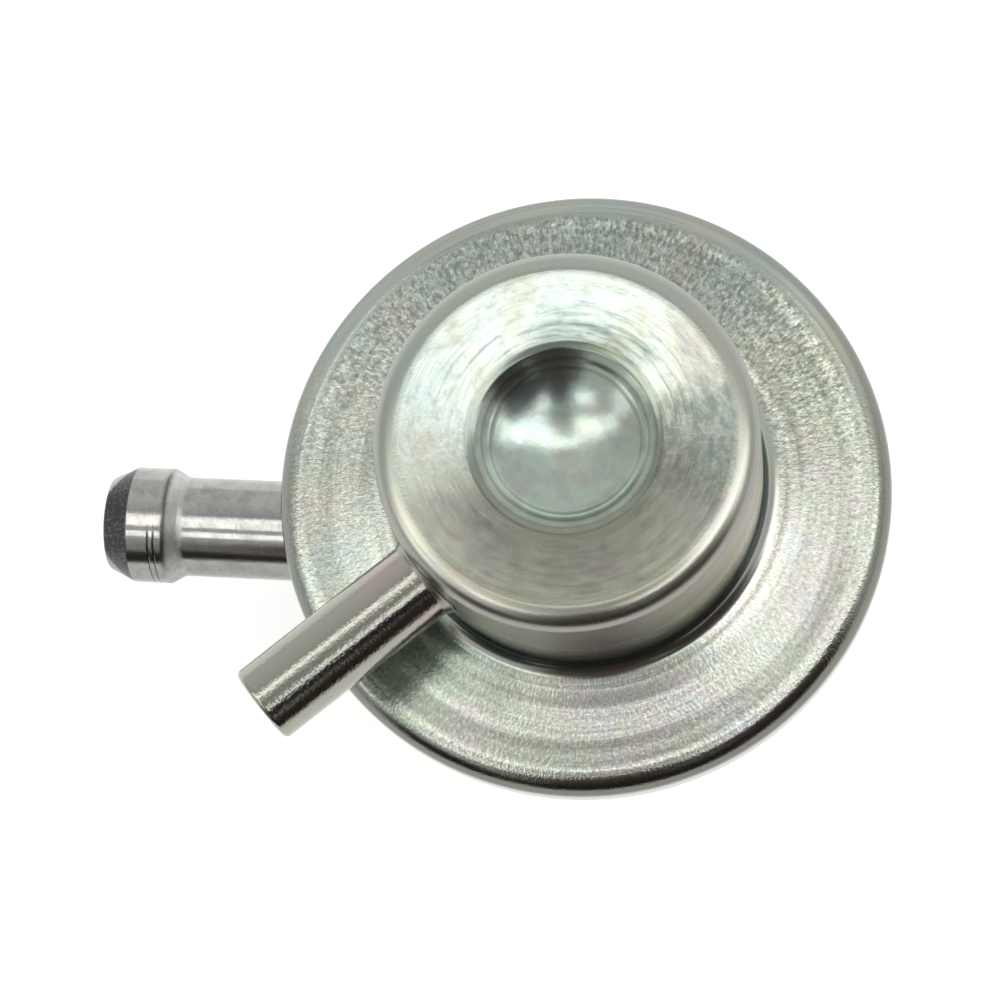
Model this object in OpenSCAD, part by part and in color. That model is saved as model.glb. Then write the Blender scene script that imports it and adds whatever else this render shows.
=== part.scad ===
// Fuel pressure regulator: a drawn steel can with a clamped diaphragm, two hose spigots and a vacuum nipple.
// +Z is the regulator's own axis with the spring cup up, and the inlet pipe points along -X.
// The origin lies on that axis, in the middle of the return spigot's bead.

/* [Crimped rim] */
// Outside diameter of the crimped rim
rim_d = 44.5; // [43:0.5:52]
// Inside bend radius of the rim's two edges
rim_bend_in = 0.5; // [0.3:0.1:0.8]
// Width of the lip that is rolled under the lower flange
lip_w = 3.9; // [3.2:0.1:4.4]

/* [Upper cover] */
// Sheet thickness of the upper cover
cover_t = 1.2; // [0.9:0.1:1.4]
// Outside diameter of the spring cup
cup_d = 26.2; // [25.6:0.2:28]
// Height of the spring cup above the rim's top face
cup_h = 15.5; // [14.5:0.5:22]
// Inside bend radius of the cup's top edge
cup_edge_in = 0.3; // [0.2:0.1:1.2]
// Outside fillet radius at the foot of the cup
cup_foot = 1.6; // [0.6:0.1:2]
// Diameter at which the cup's top face starts to turn down into the setting dimple
dimple_d = 13.6; // [11:0.2:15]
// Depth of the setting dimple below the face around it
dimple_depth = 2.65; // [1.8:0.05:3]
// Depth by which pressing the dimple has pulled the cup's top face down around it
top_sink = 0.35; // [0.1:0.05:0.6]
// Inside bend radius of the dimple's lip
dimple_lip_in = 0.3; // [0.2:0.1:0.8]
// Fall of the flange from the cup's wall to the rim
flange_fall = 0.45; // [0.2:0.05:0.8]
// Distance from the cup's foot to the step that the crimping tool leaves on the flange
step_gap = 0.8; // [0.5:0.1:2]
// Height of that step
step_h = 0.1; // [0.05:0.05:0.4]
// Width of that step's slope
step_w = 0.6; // [0.4:0.1:1.2]

/* [Vacuum nipple] */
// Outside diameter of the vacuum nipple
nipple_d = 5.7; // [4.5:0.1:6.5]
// Wall of the vacuum nipple
nipple_wall = 0.9; // [0.6:0.1:1.2]
// Distance from the regulator's axis to the nipple's free end
nipple_reach = 27.4; // [22:0.1:36]
// Distance of the nipple's axis below the cup's top face
nipple_drop = 7.7; // [6:0.1:9]
// Angle from the inlet pipe to the nipple, seen from above
nipple_angle = 41.6; // [0:0.2:180]
// Rounding of the nipple's free end
nipple_edge = 0.35; // [0.1:0.05:0.5]
// Depth by which the nipple's root is turned down for its hole
nipple_root = 0.3; // [0.2:0.05:0.5]
// Width of the braze fillet around the nipple
nipple_fillet = 0.35; // [0.2:0.05:0.6]

/* [Fuel spigots] */
// Outside diameter of the two fuel pipes
pipe_d = 8; // [7:0.1:9]
// Wall of the two fuel pipes
pipe_wall = 1.2; // [0.8:0.1:1.6]
// Height of the hose bead above the pipe
bead_rise = 0.65; // [0.3:0.05:1]
// Length of the bead's straight land
bead_land = 2.9; // [2:0.1:4]
// Length of the slope from the land down to the pipe
bead_slope = 1.1; // [0.6:0.1:2]
// Length of the lead-in cone in front of the land
bead_cone = 2.1; // [1.5:0.1:3]
// Depth of the lead-in cone below the pipe's surface at its end
tip_drop = 0.35; // [0.1:0.05:0.4]
// Rounding of the pipe's end
tip_edge = 0.4; // [0.2:0.05:0.5]
// Distance from the regulator's axis to the inlet pipe's end
inlet_reach = 39.7; // [32:0.5:60]
// Distance of the inlet pipe's axis below the middle of the rim
inlet_drop = 18.7; // [17:0.1:24]
// Length of the return pipe below the neck
return_reach = 20; // [16:0.5:40]

/* [Lower housing] */
// Sheet thickness of the lower housing
housing_t = 1.6; // [1.2:0.1:1.8]
// Outside diameter of the fuel pan under the rim
pan_d = 30.4; // [29:0.2:31]
// Depth of the fuel pan below the rim's flange
pan_depth = 7; // [5:0.5:9]
// Outside diameter of the neck that carries the fuel pipes
neck_d = 20; // [19:0.5:23]
// Distance from the neck's floor up to the inlet pipe's axis
inlet_rise = 8.4; // [7.6:0.1:12]
// Fillet radius where the sheet bends outward
housing_fillet = 1.2; // [0.6:0.1:1.6]
// Inside bend radius where the sheet bends upward
housing_bend_in = 1; // [0.6:0.1:1.6]

/* [Diaphragm] */
// Thickness of the diaphragm's clamped rim
seal_t = 1.2; // [0.8:0.1:1.6]
// Thickness of the diaphragm's free membrane
membrane_t = 0.8; // [0.5:0.1:1]
// Thickness of the spring plate above the membrane
plate_t = 1; // [0.8:0.1:1.2]
// Inside bend radius of the spring plate's rim
plate_bend_in = 0.5; // [0.3:0.1:0.8]
// Height of the spring plate's rim
plate_h = 3.2; // [2.6:0.1:4]
// Thickness of the support plate below the membrane
support_t = 0.8; // [0.6:0.1:1]
// Outside diameter of the support plate
support_d = 19.6; // [17:0.2:20]
// Height of the support plate's turned-down rim
support_h = 1.8; // [1.6:0.1:2.2]
// Inside bend radius of the support plate's rim
support_bend_in = 0.4; // [0.2:0.1:0.6]

/* [Main spring] */
// Wire of the main spring
wire_d = 2.2; // [1.6:0.1:2.3]
// Outside diameter of the main spring
spring_d = 19.2; // [18.6:0.1:19.3]
// Working turns of the main spring
spring_turns = 2.5; // [1.5:0.5:2.5]
// Sheet thickness of the spring seat
seat_t = 1.2; // [1:0.1:1.4]
// Width of the spring seat outside the main spring
seat_rim = 0.6; // [0.2:0.1:1]
// Bend radius inside the spring seat's dish
seat_bend_in = 0.3; // [0.2:0.1:0.6]
// Height of the spring seat's dish
dish_h = 1.7; // [1.4:0.1:1.8]

/* [Valve] */
// Diameter of the valve ball
ball_d = 6; // [5.6:0.1:6.4]
// Distance from the ball's centre to its ground flat
ball_flat = 2; // [1.9:0.05:2.1]
// Wall of the valve holder's barrel around the ball retainer
barrel_wall = 1.1; // [0.8:0.1:1.6]
// Height of the barrel's lip that is swaged under the retainer
barrel_lip = 0.4; // [0.2:0.05:0.6]
// Diameter of the valve holder's flange
flange_d = 12.8; // [12:0.2:15]
// Thickness of the valve holder's flange
flange_t = 1.4; // [1.2:0.1:2]
// Diameter of the valve holder's rivet shank
shank_d = 4.4; // [4:0.1:5]
// Diameter of the rivet's head
rivet_d = 6.8; // [6.4:0.1:8]
// Height of the rivet's head
rivet_h = 1; // [0.7:0.1:1.4]
// Diameter of the washer under the rivet's head
washer_d = 9.6; // [9:0.2:11]
// Thickness of that washer
washer_t = 0.8; // [0.6:0.1:1]
// Metal left above the ball spring's pocket in the holder's flange
pocket_roof = 1; // [0.6:0.1:1.4]
// Length of the ball spring
ball_spring_h = 2.4; // [2:0.1:3]
// Wire of the ball spring
ball_wire_d = 0.45; // [0.3:0.05:0.5]
// Outside diameter of the ball spring
ball_spring_d = 2.8; // [2.6:0.1:3]
// Working turns of the ball spring
ball_turns = 1.5; // [1:0.5:2]
// Width of the ball retainer outside the ball
retainer_w = 1.1; // [0.8:0.1:1.4]
// Distance of the ball retainer below the ball's centre
retainer_drop = 0.6; // [0.5:0.05:0.7]
// Thickness of the ball retainer
retainer_t = 0.6; // [0.5:0.05:0.7]
// Bore of the valve seat
seat_bore = 3; // [2.4:0.1:3.4]
// Width of the valve seat's lip
seat_lip = 0.5; // [0.3:0.05:0.6]
// Height of the valve seat from its lip to its collar
seat_cone = 3; // [2:0.1:5]
// Thickness of the valve seat's collar on the return pipe
seat_collar = 1.5; // [1:0.1:2.5]
// Length of the valve seat's press spigot in the return pipe
seat_press = 4; // [2:0.5:6]

/* [Fits] */
// Gap between a tube and the sheet it is brazed through
braze_gap = 0.05; // [0:0.01:0.1]
// Width of a fuel pipe's braze fillet
braze_w = 0.8; // [0.4:0.05:1.2]
// Length of a tube inside the wall it passes through
tube_inset = 0.6; // [0.3:0.1:1]
// Gap around the main spring in its plate and seat
spring_gap = 0.2; // [0.1:0.05:0.3]
// Gap around the ball spring in its pocket
pocket_gap = 0.3; // [0.15:0.05:0.4]
// Length of membrane that stays flat past the spring plate
membrane_gap = 0.4; // [0.2:0.1:0.8]
// Gap around the valve ball
ball_gap = 0.1; // [0.05:0.01:0.15]
// Gap between the valve ball's flat and its seat at rest
valve_gap = 0.1; // [0.05:0.05:0.2]
// Gap between stacked or pressed pieces
press_gap = 0.02; // [0:0.01:0.05]

/* [Hidden] */

$fn = 96;
// Sides of the round faces of a small braze fillet
fillet_sides = 288;
arc_steps = 7;
spring_sides = 10;
ball_spring_sides = 8;
// Sections of a spring's wire in one turn
ring_steps = 22;
// Rise of a spring's closed end turn, as a share of its wire
closed_turn = 1.02;
// An arc stops this share short of its neighbour, so that no straight piece between them has zero length
arc_share = 0.995;
// How far a cutting shape runs past the wall that it cuts
cut = 1;

zinc = "#c9ccc4";
nickel = "#d2d0c8";
steel = "#b4b4b8";
spring_steel = "#8d9096";
rubber = "#2a2a2c";
brass = "#c8a552";

// Radii
rim_r = rim_d / 2;
rim_bend = rim_bend_in + cover_t;
cup_r = cup_d / 2;
cup_edge = cup_edge_in + cover_t;
neck_r = neck_d / 2;
pan_r = pan_d / 2;
pipe_r = pipe_d / 2;
nipple_r = nipple_d / 2;
nipple_root_r = nipple_r - nipple_root;
pipe_bore_r = pipe_r - pipe_wall;
bead_r = pipe_r + bead_rise;
tip_r = pipe_r - tip_drop;
step_r = cup_r + cup_foot + step_gap;
shank_r = shank_d / 2;
ball_r = ball_d / 2;
// The clamped pieces end where the rim's inside bend starts
clamped_r = rim_r - rim_bend;

// Heights, from the return spigot's bead up
return_end_z = -(bead_land / 2 + bead_cone);
neck_z = return_end_z + return_reach;
inlet_z = neck_z + inlet_rise;
rim_z = inlet_z + inlet_drop;
rim_t = 2 * cover_t + seal_t + housing_t;
flange_z = rim_z + rim_t / 2;
lip_z = flange_z - rim_t;
seal_z = flange_z - cover_t;
pan_flange_z = seal_z - seal_t;
pan_z = pan_flange_z - housing_t - pan_depth;
top_z = flange_z + cup_h;
nipple_z = top_z - nipple_drop;

// The setting dimple is a spherical bowl that runs tangent into its rounded lip
dimple_r = dimple_d / 2;
dimple_lip = dimple_lip_in + cover_t;
bowl_and_lip = (pow(dimple_r, 2) + pow(dimple_depth, 2)) / (2 * dimple_depth);
bowl_r = bowl_and_lip - dimple_lip;
bowl_slope = asin(dimple_r / bowl_and_lip);
sunk_z = top_z - top_sink;
dimple_z = sunk_z - dimple_depth;

// The flange's top face and underside at a radius, where it falls evenly towards the rim
flange_slope = flange_fall / (rim_r - cup_r);
function flange_top(r) = flange_z + flange_slope * (rim_r - r);
function flange_under(r) = flange_top(r) - cover_t * norm([1, flange_slope]);

// The diaphragm's middle hangs its rim's thickness below the clamped plane while the valve is shut
membrane_z = seal_z - seal_t;
spring_r = spring_d / 2;
plate_r = spring_r + spring_gap + plate_t;
membrane_flat_r = plate_r + membrane_gap;
membrane_slope_r = pan_r + membrane_gap / 2;
support_z = membrane_z - membrane_t;
holder_z = support_z - support_t;
plate_top_z = membrane_z + plate_t;
washer_top_z = plate_top_z + washer_t;

// The ball hangs below the holder's flange, with its small spring between them
pocket_z = holder_z - pocket_roof;
ball_coil_r = (ball_spring_d - ball_wire_d) / 2;
ball_z = pocket_z - ball_spring_h - sqrt(pow(ball_r, 2) - pow(ball_coil_r, 2)) - press_gap;
pocket_r = ball_spring_d / 2 + pocket_gap;
retainer_z = ball_z - retainer_drop;
retainer_r = ball_r + retainer_w;
barrel_r = retainer_r + barrel_wall;
barrel_z = retainer_z - retainer_t - barrel_lip;
valve_z = ball_z - ball_flat - valve_gap;
return_top_z = valve_z - seat_cone - seat_collar;

// The spring seat's dish meets the underside of the setting dimple
coil_r = spring_r - wire_d / 2;
dish_z = dimple_z - cover_t - press_gap;
dish_r = spring_r - wire_d - spring_gap;
spring_top_z = dish_z + dish_h - seat_t;
seat_bend = seat_t + seat_bend_in;

// A unit vector and its left-hand normal
function unit(v) = v / norm(v);
function left(v) = [-v[1], v[0]];
function turned(v, a) = [v[0] * cos(a) - v[1] * sin(a), v[0] * sin(a) + v[1] * cos(a)];

// The points and left normals of one rounded corner q on the way from p to s
function corner(p, q, s, r) =
    let (into = unit(q - p))
    let (out = unit(s - q))
    let (angle = acos(into * out))
    let (side = into[0] * out[1] - into[1] * out[0] > 0 ? 1 : -1)
    let (start = q - into * r * tan(angle / 2))
    let (centre = start + left(into) * side * r)
    [for (i = [0:arc_steps])
        let (a = side * angle * i / arc_steps)
        [centre + turned(start - centre, a), left(turned(into, a))]];

// The points and normals along an open line of [r, z, bend] corners
function rounded(c) =
    let (n = len(c) - 1)
    let (p = [for (k = c) [k[0], k[1]]])
    concat(
        [[p[0], left(unit(p[1] - p[0]))]],
        [for (i = [1:n - 1]) each corner(p[i - 1], p[i], p[i + 1], c[i][2])],
        [[p[n], left(unit(p[n] - p[n - 1]))]]);

// A sheet of thickness t to the left of a rounded line, turned about Z; a negative t lies to its right
module turned_sheet(corners, t) {
    line = rounded(corners);
    back = [for (i = [len(line) - 1:-1:0]) line[i][0] + t * line[i][1]];
    rotate_extrude() polygon(concat([for (s = line) s[0]], back));
}

// A ring of rectangular section about Z
module ring(r_in, r_out, z, h) {
    rotate_extrude() translate([r_in, z]) square([r_out - r_in, h]);
}

// A quarter round in a tube's half section, from its outside to its end
function end_round(r, z, edge) =
    [for (i = [0:arc_steps])
        let (a = 90 * i / arc_steps)
        [r - edge + edge * cos(a), z - edge + edge * sin(a)]];

// Places a radial tube's own axis, its +Z, at a height and an angle about the regulator's axis
module radial(z, angle) {
    translate([0, 0, z]) rotate([0, 0, angle]) rotate([0, 90, 0]) children();
}

// A fuel pipe along +Z with the hose bead at its far end
module fuel_pipe(start, end) {
    cone_z = end - bead_cone;
    land_z = cone_z - bead_land;
    outside = [[pipe_r, start], [pipe_r, land_z - bead_slope], [bead_r, land_z], [bead_r, cone_z]];
    tip = end_round(tip_r, end, tip_edge);
    rotate_extrude() polygon(concat([[pipe_bore_r, start]], outside, tip, [[pipe_bore_r, end]]));
}

// The braze fillet around a radial tube where it leaves an upright round wall
module braze_saddle(tube_r, wall_r, w) {
    $fn = fillet_sides;
    foot = sqrt(pow(wall_r, 2) - pow(tube_r, 2));
    difference() {
        translate([0, 0, foot])
            cylinder(h = wall_r + w - foot, r1 = tube_r + w, r2 = tube_r + press_gap);
        cylinder(h = wall_r + w + cut, r = tube_r);
        rotate([0, 90, 0]) cylinder(h = 4 * tube_r, r = wall_r + braze_gap, center = true);
    }
}

// A helical spring about Z with one closed turn at each end
module coil_spring(r, wire, z, h, turns, sides) {
    closed = wire * closed_turn;
    pitch = (h - wire - 2 * closed) / turns;
    count = floor((turns + 2) * ring_steps);
    function coil_z(t) =
        t < 1 ? t * closed :
        t < turns + 1 ? closed + (t - 1) * pitch :
        closed * (t - turns) + turns * pitch;
    points = [for (i = [0:count])
        let (t = i / ring_steps)
        for (k = [0:sides - 1])
        let (a = 360 * k / sides)
        let (rho = r + wire / 2 * cos(a))
        [rho * cos(360 * t), rho * sin(360 * t), z + wire / 2 + coil_z(t) + wire / 2 * sin(a)]];
    walls = [for (i = [0:count - 1])
        for (k = [0:sides - 1])
        let (a = i * sides + k)
        let (b = i * sides + (k + 1) % sides)
        each [[a, a + sides, b], [b, a + sides, b + sides]]];
    start_cap = [for (k = [0:sides - 1]) k];
    end_cap = [for (k = [sides - 1:-1:0]) count * sides + k];
    polyhedron(points, concat([start_cap], walls, [end_cap]));
}

module upper_cover() {
    outline = [
        [0, dimple_z],
        [bowl_r * tan(bowl_slope / 2), dimple_z, bowl_r * arc_share],
        [dimple_r - dimple_lip * tan(bowl_slope / 2), sunk_z, dimple_lip * arc_share],
        [cup_r, top_z, cup_edge],
        [cup_r, flange_top(cup_r) + step_h, cup_foot],
        [step_r, flange_top(step_r) + step_h, cover_t + step_h],
        [step_r + step_w, flange_top(step_r + step_w), cover_t],
        [rim_r, flange_z, rim_bend],
        [rim_r, lip_z, rim_bend],
        [rim_r - lip_w, lip_z]];
    color(zinc) difference() {
        turned_sheet(outline, -cover_t);
        radial(nipple_z, 180 + nipple_angle) cylinder(h = rim_r, r = nipple_root_r + braze_gap);
    }
}

module vacuum_nipple() {
    bore = nipple_r - nipple_wall;
    start = cup_r - cover_t - tube_inset;
    shoulder = cup_r + braze_gap;
    section = concat(
        [[bore, start], [nipple_root_r, start], [nipple_root_r, shoulder], [nipple_r, shoulder]],
        end_round(nipple_r, nipple_reach, nipple_edge),
        [[bore, nipple_reach]]);
    color(nickel) radial(nipple_z, 180 + nipple_angle) rotate_extrude() polygon(section);
}

module nipple_braze() {
    color(nickel) radial(nipple_z, 180 + nipple_angle) braze_saddle(nipple_r, cup_r, nipple_fillet);
}

module spring_seat() {
    outline = [
        [0, dish_z],
        [dish_r - dish_h - seat_t, dish_z, seat_t],
        [dish_r - seat_t / 2, dish_z + dish_h, seat_bend],
        [spring_r + seat_rim, dish_z + dish_h]];
    color(steel) turned_sheet(outline, -seat_t);
}

module main_spring() {
    length = spring_top_z - plate_top_z - 2 * press_gap;
    start = plate_top_z + press_gap;
    color(spring_steel) coil_spring(coil_r, wire_d, start, length, spring_turns, spring_sides);
}

module spring_plate() {
    outline = [
        [shank_r + press_gap, membrane_z],
        [plate_r, membrane_z, plate_t + plate_bend_in],
        [plate_r, membrane_z + plate_h]];
    color(steel) turned_sheet(outline, plate_t);
}

module rivet_washer() {
    color(steel) ring(shank_r + press_gap, washer_d / 2, plate_top_z, washer_t);
}

module diaphragm() {
    hole = shank_r + press_gap;
    section = [
        [hole, membrane_z],
        [membrane_flat_r, membrane_z],
        [membrane_slope_r, flange_under(membrane_slope_r) - press_gap],
        [clamped_r, flange_under(clamped_r) - press_gap],
        [clamped_r, pan_flange_z],
        [membrane_slope_r, pan_flange_z],
        [membrane_flat_r, support_z],
        [hole, support_z]];
    color(rubber) rotate_extrude() polygon(section);
}

module support_plate() {
    outline = [
        [shank_r + press_gap, support_z],
        [support_d / 2, support_z, support_t + support_bend_in],
        [support_d / 2, support_z - support_h]];
    color(steel) turned_sheet(outline, -support_t);
}

module valve_holder() {
    socket_r = ball_r + ball_gap;
    section = [
        [0, barrel_z],
        [0, washer_top_z + rivet_h],
        [rivet_d / 2 - rivet_h / 2, washer_top_z + rivet_h],
        [rivet_d / 2, washer_top_z + rivet_h / 2],
        [rivet_d / 2, washer_top_z],
        [shank_r, washer_top_z],
        [shank_r, holder_z],
        [flange_d / 2, holder_z],
        [flange_d / 2, holder_z - flange_t],
        [barrel_r, holder_z - flange_t],
        [barrel_r, barrel_z]];
    mouth_r = socket_r + retainer_w / 4;
    color(brass) difference() {
        rotate_extrude() polygon(section);
        translate([0, 0, ball_z]) sphere(r = socket_r);
        translate([0, 0, ball_z]) cylinder(h = pocket_z - ball_z, r = pocket_r);
        translate([0, 0, barrel_z - cut]) cylinder(h = ball_z - barrel_z + cut, r = socket_r);
        translate([0, 0, retainer_z - retainer_t]) cylinder(h = retainer_t, r = retainer_r + press_gap);
        translate([0, 0, barrel_z - cut]) cylinder(h = cut + barrel_lip, r = mouth_r);
    }
}

module ball_spring() {
    length = ball_spring_h - press_gap;
    start = pocket_z - ball_spring_h;
    color(spring_steel)
        coil_spring(ball_coil_r, ball_wire_d, start, length, ball_turns, ball_spring_sides);
}

module valve_ball() {
    color(steel) difference() {
        translate([0, 0, ball_z]) sphere(r = ball_r);
        translate([0, 0, ball_z - ball_flat - ball_d]) cylinder(h = ball_d, r = ball_d);
    }
}

module ball_retainer() {
    color(steel) difference() {
        translate([0, 0, retainer_z - retainer_t]) cylinder(h = retainer_t, r = retainer_r);
        translate([0, 0, ball_z]) sphere(r = ball_r + ball_gap);
    }
}

module valve_seat() {
    bore = seat_bore / 2;
    spigot = pipe_bore_r - press_gap;
    section = [
        [bore, valve_z],
        [bore + seat_lip, valve_z],
        [bore + seat_lip, valve_z - seat_lip],
        [pipe_r, valve_z - seat_cone],
        [pipe_r, return_top_z],
        [spigot, return_top_z],
        [spigot, return_top_z - seat_press],
        [bore, return_top_z - seat_press]];
    color(brass) rotate_extrude() polygon(section);
}

module lower_housing() {
    bend = housing_bend_in + housing_t;
    outline = [
        [pipe_r + braze_gap, neck_z],
        [neck_r, neck_z, bend],
        [neck_r, pan_z, housing_fillet],
        [pan_r, pan_z, bend],
        [pan_r, pan_flange_z - housing_t, housing_fillet],
        [clamped_r, pan_flange_z - housing_t]];
    color(zinc) difference() {
        turned_sheet(outline, housing_t);
        radial(inlet_z, 180) cylinder(h = rim_r, r = pipe_r + braze_gap);
    }
}

module inlet_pipe() {
    color(steel) radial(inlet_z, 180) fuel_pipe(neck_r - housing_t - tube_inset, inlet_reach);
}

module inlet_braze() {
    color(steel) radial(inlet_z, 180) braze_saddle(pipe_r, neck_r, braze_w);
}

module return_pipe() {
    color(steel) rotate([180, 0, 0]) fuel_pipe(-return_top_z, -return_end_z);
}

module return_braze() {
    color(steel) rotate_extrude()
        polygon([[pipe_r, neck_z], [pipe_r + braze_w, neck_z], [pipe_r, neck_z - braze_w]]);
}

upper_cover();
vacuum_nipple();
nipple_braze();
spring_seat();
main_spring();
spring_plate();
rivet_washer();
diaphragm();
support_plate();
valve_holder();
ball_spring();
valve_ball();
ball_retainer();
valve_seat();
lower_housing();
inlet_pipe();
inlet_braze();
return_pipe();
return_braze();
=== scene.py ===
import math

import bpy
from mathutils import Matrix, Vector


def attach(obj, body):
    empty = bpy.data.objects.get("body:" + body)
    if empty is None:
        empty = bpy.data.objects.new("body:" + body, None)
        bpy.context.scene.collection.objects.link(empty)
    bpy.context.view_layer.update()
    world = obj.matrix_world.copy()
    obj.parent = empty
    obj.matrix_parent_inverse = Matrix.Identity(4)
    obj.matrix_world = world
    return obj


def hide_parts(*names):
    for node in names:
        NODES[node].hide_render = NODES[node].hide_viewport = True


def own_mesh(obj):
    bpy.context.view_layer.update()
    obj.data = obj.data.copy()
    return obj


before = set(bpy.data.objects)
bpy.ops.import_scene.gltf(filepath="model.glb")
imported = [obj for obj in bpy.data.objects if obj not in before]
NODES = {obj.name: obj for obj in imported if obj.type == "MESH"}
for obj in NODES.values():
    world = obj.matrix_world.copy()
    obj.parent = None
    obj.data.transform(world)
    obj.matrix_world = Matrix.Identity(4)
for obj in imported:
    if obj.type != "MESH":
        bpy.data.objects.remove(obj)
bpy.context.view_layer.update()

MM = 0.001

# Sizes of the CAD model that the turned pieces below repeat, in mm
RIM_R = 22.25
RIM_BEND = 1.7
LIP_W = 3.9
COVER_T = 1.2
CUP_R = 13.1
CUP_EDGE = 1.5
CUP_FOOT = 1.6
DIMPLE_R = 6.8
DIMPLE_DEPTH = 2.65
DIMPLE_LIP = 1.5
TOP_SINK = 0.35
FLANGE_FALL = 0.45
STEP_R = 15.5
STEP_H = 0.1
STEP_W = 0.6
STEP_BEND = 3.0
TOP_Z = 61.65
FLANGE_Z = 46.15
LIP_Z = 40.95
PIPE_R = 4.0
PIPE_BORE_R = 2.8
PIPE_BEND = 0.5
BEAD_R = 4.65
BEAD_LAND = 2.9
BEAD_SLOPE = 1.1
BEAD_BACK_BEND = 0.35
BEAD_FRONT_BEND = 0.12
BEAD_CONE = 2.1
TIP_R = 3.65
TIP_EDGE = 0.4
INLET_REACH = 39.7
INLET_START = 7.8
INLET_Z = 24.85
RETURN_TOP_Z = 26.95
RETURN_END_Z = -3.55
NIPPLE_R = 2.85
NIPPLE_ROOT_R = 2.55
NIPPLE_BORE_R = 1.95
NIPPLE_START = 11.3
NIPPLE_SHOULDER = 13.15
NIPPLE_REACH = 27.4
NIPPLE_EDGE = 0.35
NIPPLE_BORE_EDGE = 0.15
NIPPLE_Z = 53.95
NIPPLE_AZ = math.radians(221.6)
HOUSING_T = 1.6
NECK_R = 10.0
NECK_Z = 16.45
PAN_R = 15.2
PAN_Z = 35.15
PAN_FLANGE_Z = 42.15
HOUSING_BEND = 2.6
HOUSING_FILLET = 1.2
CLAMPED_R = 20.55
BRAZE_GAP = 0.05

# Mesh fineness: sides of a turned piece, and the longest steps along its section in mm
ROUND = 256
ARC_STEP = 0.15
LEAST_ARC_STEPS = 6
STRAIGHT_STEP = 0.45
# Bend of a corner that states none, and share of a bend that keeps it clear of the next one
SHARP = 0.06
BEND_SHARE = 0.995
# A point nearer to the axis than POLE_R is a pole, and a length under TINY counts as none
POLE_R = 1e-4
TINY = 1e-6
# Least radius by which a material divides to tell directions apart, in mm
LEAST_R = 0.001


def left(v):
    return Vector((-v.y, v.x))


def turned(v, a):
    return Vector((v.x * math.cos(a) - v.y * math.sin(a), v.x * math.sin(a) + v.y * math.cos(a)))


def section_line(corners):
    """Points and left-hand normals along an open line of (r, z, bend) corners."""
    p = [Vector(c[:2]) for c in corners]
    line = [(p[0], left((p[1] - p[0]).normalized()))]
    for i in range(1, len(p) - 1):
        into = (p[i] - p[i - 1]).normalized()
        out = (p[i + 1] - p[i]).normalized()
        angle = math.atan2(into.x * out.y - into.y * out.x, into.dot(out))
        bend = corners[i][2] if len(corners[i]) > 2 else SHARP
        start = p[i] - into * bend * math.tan(abs(angle) / 2)
        centre = start + left(into) * math.copysign(bend, angle)
        steps = max(LEAST_ARC_STEPS, math.ceil(bend * abs(angle) / ARC_STEP))
        for k in range(steps + 1):
            a = angle * k / steps
            line.append((centre + turned(start - centre, a), left(turned(into, a))))
    line.append((p[-1], left((p[-1] - p[-2]).normalized())))
    fine = [line[0]]
    for here, normal in line[1:]:
        last, last_normal = fine[-1]
        steps = max(1, math.ceil((here - last).length / STRAIGHT_STEP))
        for k in range(1, steps + 1):
            share = k / steps
            fine.append((last.lerp(here, share), last_normal.lerp(normal, share).normalized()))
    return fine


def sheet_section(corners, t):
    """A closed section of a sheet of thickness t to the left of a line, with outward normals."""
    line = section_line(corners)
    out = -1 if t > 0 else 1
    front = [(p, n * out) for p, n in line]
    back = [(p + n * t, n * -out) for p, n in reversed(line)]
    return front + back


def solid_section(corners):
    """A closed section through solid metal that lies to the right of its line."""
    closed = [corners[-1], *corners, corners[0]]
    return section_line(closed)[1:-1]


def turned_rows(section):
    """Points and normals of a section turned about Z, and a row of point numbers for each of its points."""
    verts, normals, rows = [], [], []
    for p, n in section:
        if p.x < POLE_R:
            rows.append([len(verts)] * ROUND)
            verts.append([0.0, 0.0, p.y])
            normals.append((0.0, 0.0, 1.0 if n.y > 0 else -1.0))
            continue
        rows.append(range(len(verts), len(verts) + ROUND))
        for k in range(ROUND):
            a = 2 * math.pi * k / ROUND
            c, s = math.cos(a), math.sin(a)
            verts.append([p.x * c, p.x * s, p.y])
            normals.append((n.x * c, n.x * s, n.y))
    return verts, normals, rows


def in_hole(v, azimuth, height, radius):
    """Whether a point lies in a radial hole."""
    ahead = v[0] * math.cos(azimuth) + v[1] * math.sin(azimuth)
    aside = v[1] * math.cos(azimuth) - v[0] * math.sin(azimuth)
    return ahead > 0 and math.hypot(aside, v[2] - height) < radius


def moved_to_hole_edge(v, azimuth, height, radius):
    """A point in a radial hole, moved to the hole's edge at the same distance from Z."""
    ahead = Vector((math.cos(azimuth), math.sin(azimuth)))
    side = Vector((-math.sin(azimuth), math.cos(azimuth)))
    r = math.hypot(v[0], v[1])
    aside = v[0] * side.x + v[1] * side.y
    grow = radius / max(TINY, math.hypot(aside, v[2] - height))
    aside *= grow
    flat = ahead * math.sqrt(max(0.0, r * r - aside * aside)) + side * aside
    return [flat.x, flat.y, height + (v[2] - height) * grow]


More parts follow.
